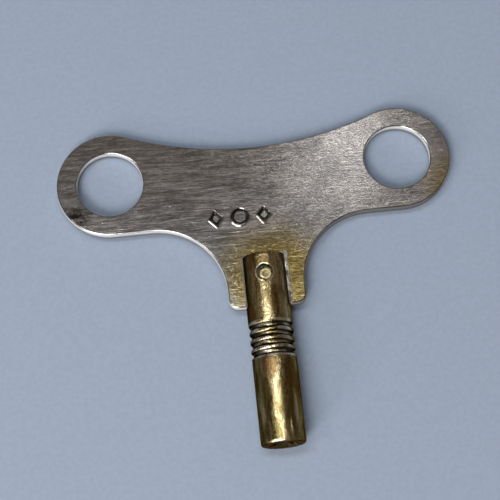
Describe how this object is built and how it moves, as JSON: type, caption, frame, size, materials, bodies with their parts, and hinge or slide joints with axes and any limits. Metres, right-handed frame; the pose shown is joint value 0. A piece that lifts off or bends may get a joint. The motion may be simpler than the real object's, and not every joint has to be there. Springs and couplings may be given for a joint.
{
  "type": "clock winding key",
  "caption": "Butterfly-handled winding key: flat steel handle with two round holes, slotted and pinned brass barrel with turned grooves and a square socket in its end.",
  "frame": {"origin": "centre of the square socket's mouth, on the barrel's end face", "axes": "+X along the butterfly handle, +Y up the barrel from the socket mouth to the handle, +Z out of the handle's marked front face"},
  "size_m": [0.072, 0.0601, 0.008],
  "materials": {
    "handle_steel": "worn, brushed along the handle, yellow tarnish near the barrel",
    "barrel_brass": "turned, patinated and handled smooth",
    "pin_brass": "filed flush, slightly brighter than the barrel",
    "solder": "dull soft solder, slightly lumpy"
  },
  "bodies": {
    "root": {"handle_plate": "handle_steel", "barrel": "barrel_brass", "cross_pin": "pin_brass", "solder_bead_front": "solder", "solder_bead_back": "solder"}
  },
  "joints": []
}
